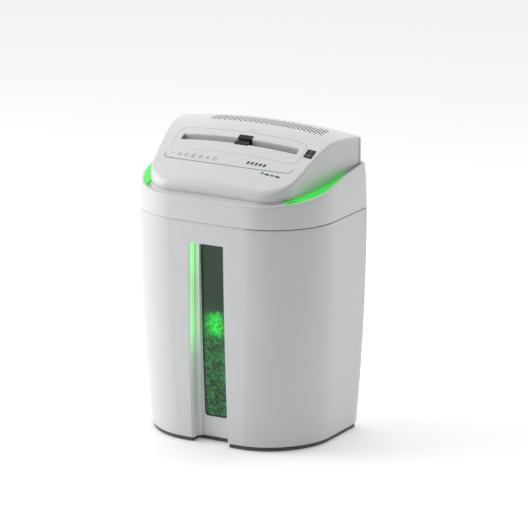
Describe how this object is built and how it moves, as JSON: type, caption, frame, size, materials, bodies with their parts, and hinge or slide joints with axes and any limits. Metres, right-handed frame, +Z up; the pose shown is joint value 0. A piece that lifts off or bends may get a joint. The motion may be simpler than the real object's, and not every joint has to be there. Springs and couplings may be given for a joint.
{
  "type": "paper shredder",
  "caption": "Upright paper shredder: domed cutting head with a long feed slot over a tapered pull-out bin with a recessed upright window.",
  "frame": {"origin": "centre of the overall box, on the floor", "axes": "+Z up, the bowed front faces -Y, +X to the right seen from the front"},
  "size_m": [0.371, 0.246, 0.542],
  "materials": {
    "body_white": "satin moulded",
    "head_white": "satin moulded",
    "inner_grey": "matt moulded",
    "channel_gloss": "glossy moulded",
    "plinth_grey": "fine textured",
    "rubber": "matt",
    "zinc_steel": "zinc plated sheet",
    "bright_steel": "ground",
    "cutter_steel": "hardened, oiled",
    "gear_steel": "machined",
    "nylon": "moulded nylon",
    "bronze": "sintered bronze",
    "brass_pin": "plated",
    "black_plastic": "moulded",
    "red_plastic": "moulded",
    "gloss_black": "polished",
    "guide_grey": "moulded",
    "board_green": "solder resist",
    "light_green": "translucent light guide",
    "lamp": "translucent lens",
    "window_tint": "clear tinted",
    "gasket": "matt",
    "motor_paint": "semi gloss",
    "capacitor_shell": "drawn can",
    "magnet": "nickel and plastic",
    "screw_steel": "blackened"
  },
  "bodies": {
    "root": {"base_plinth": "plinth_grey", "rubber_feet": "rubber", "frame_column": "zinc_steel", "rear_cover": "body_white", "power_inlet": "black_plastic", "inlet_pins": "brass_pin", "bin_guides": "black_plastic", "bin_magnet": "magnet", "interlock_switch": "black_plastic", "chassis_plate": "zinc_steel", "skirt": "head_white", "head_cover": "head_white", "throat_bezel": "head_white", "throat_guides": "guide_grey", "sensor_cover": "gloss_black", "sensor_receiver": "gloss_black", "sensor_board": "board_green", "switch_frame": "gloss_black", "switch_pins": "bright_steel", "light_strip_left": "light_green", "light_strip_right": "light_green", "led_boards": "board_green", "bin_lamp": "lamp", "side_plate_left": "zinc_steel", "side_plate_right": "zinc_steel", "tie_rods": "bright_steel", "shaft_bushes": "bronze", "comb_front": "black_plastic", "comb_rear": "black_plastic", "idler_pin": "bright_steel", "gear_plate": "zinc_steel", "motor_body": "motor_paint", "control_board": "board_green", "motor_capacitor": "capacitor_shell", "chassis_screws": "screw_steel", "rear_screws": "screw_steel"},
    "bin": {"bin_shell": "body_white", "channel_liner": "channel_gloss", "window_gasket": "gasket", "window_pane": "window_tint", "bin_floor": "inner_grey", "bin_back_wall": "inner_grey", "bin_runners": "black_plastic", "strike_plate": "zinc_steel"},
    "rocker": {"switch_rocker": "gloss_black"},
    "cutter_rear": {"cutter_shaft_rear": "cutter_steel", "cutter_discs_rear": "cutter_steel", "link_gear_rear": "gear_steel", "drive_gear": "gear_steel"},
    "cutter_front": {"cutter_shaft_front": "cutter_steel", "cutter_discs_front": "cutter_steel", "link_gear_front": "gear_steel"},
    "idler": {"idler_gear": "nylon"},
    "rotor": {"motor_shaft": "bright_steel", "motor_pinion": "bright_steel", "motor_fan": "black_plastic"},
    "plunger": {"interlock_plunger": "red_plastic"}
  },
  "joints": [
    {"name": "bin_slide", "type": "slide", "parent": "root", "child": "bin", "axis": [0, -1, 0], "range_m": [0, 0.24]},
    {"name": "rocker_tilt", "type": "hinge", "parent": "root", "child": "rocker", "pos_m": [0.1377, -0.00549, 0.51189], "axis": [0.9934, 0, -0.115], "range_deg": [-8, 8]},
    {"name": "cutter_spin", "type": "hinge", "parent": "root", "child": "cutter_rear", "pos_m": [0, 0.0075, 0.445], "axis": [1, 0, 0], "continuous": true},
    {"name": "cutter_front_spin", "type": "hinge", "parent": "root", "child": "cutter_front", "pos_m": [0, -0.0225, 0.445], "axis": [1, 0, 0], "continuous": true},
    {"name": "idler_spin", "type": "hinge", "parent": "root", "child": "idler", "pos_m": [0, 0.03877, 0.47198], "axis": [1, 0, 0], "continuous": true},
    {"name": "motor_spin", "type": "hinge", "parent": "root", "child": "rotor", "pos_m": [0, 0.072, 0.458], "axis": [1, 0, 0], "continuous": true},
    {"name": "plunger_press", "type": "slide", "parent": "root", "child": "plunger", "axis": [0, 1, 0], "range_m": [0, 0.003], "stiffness_N_per_m": 150}
  ],
  "couplings": [
    {"joint": "cutter_front_spin", "follows": "cutter_spin", "ratio": -1},
    {"joint": "idler_spin", "follows": "cutter_spin", "ratio": -2.6667},
    {"joint": "motor_spin", "follows": "cutter_spin", "ratio": 13.333}
  ]
}
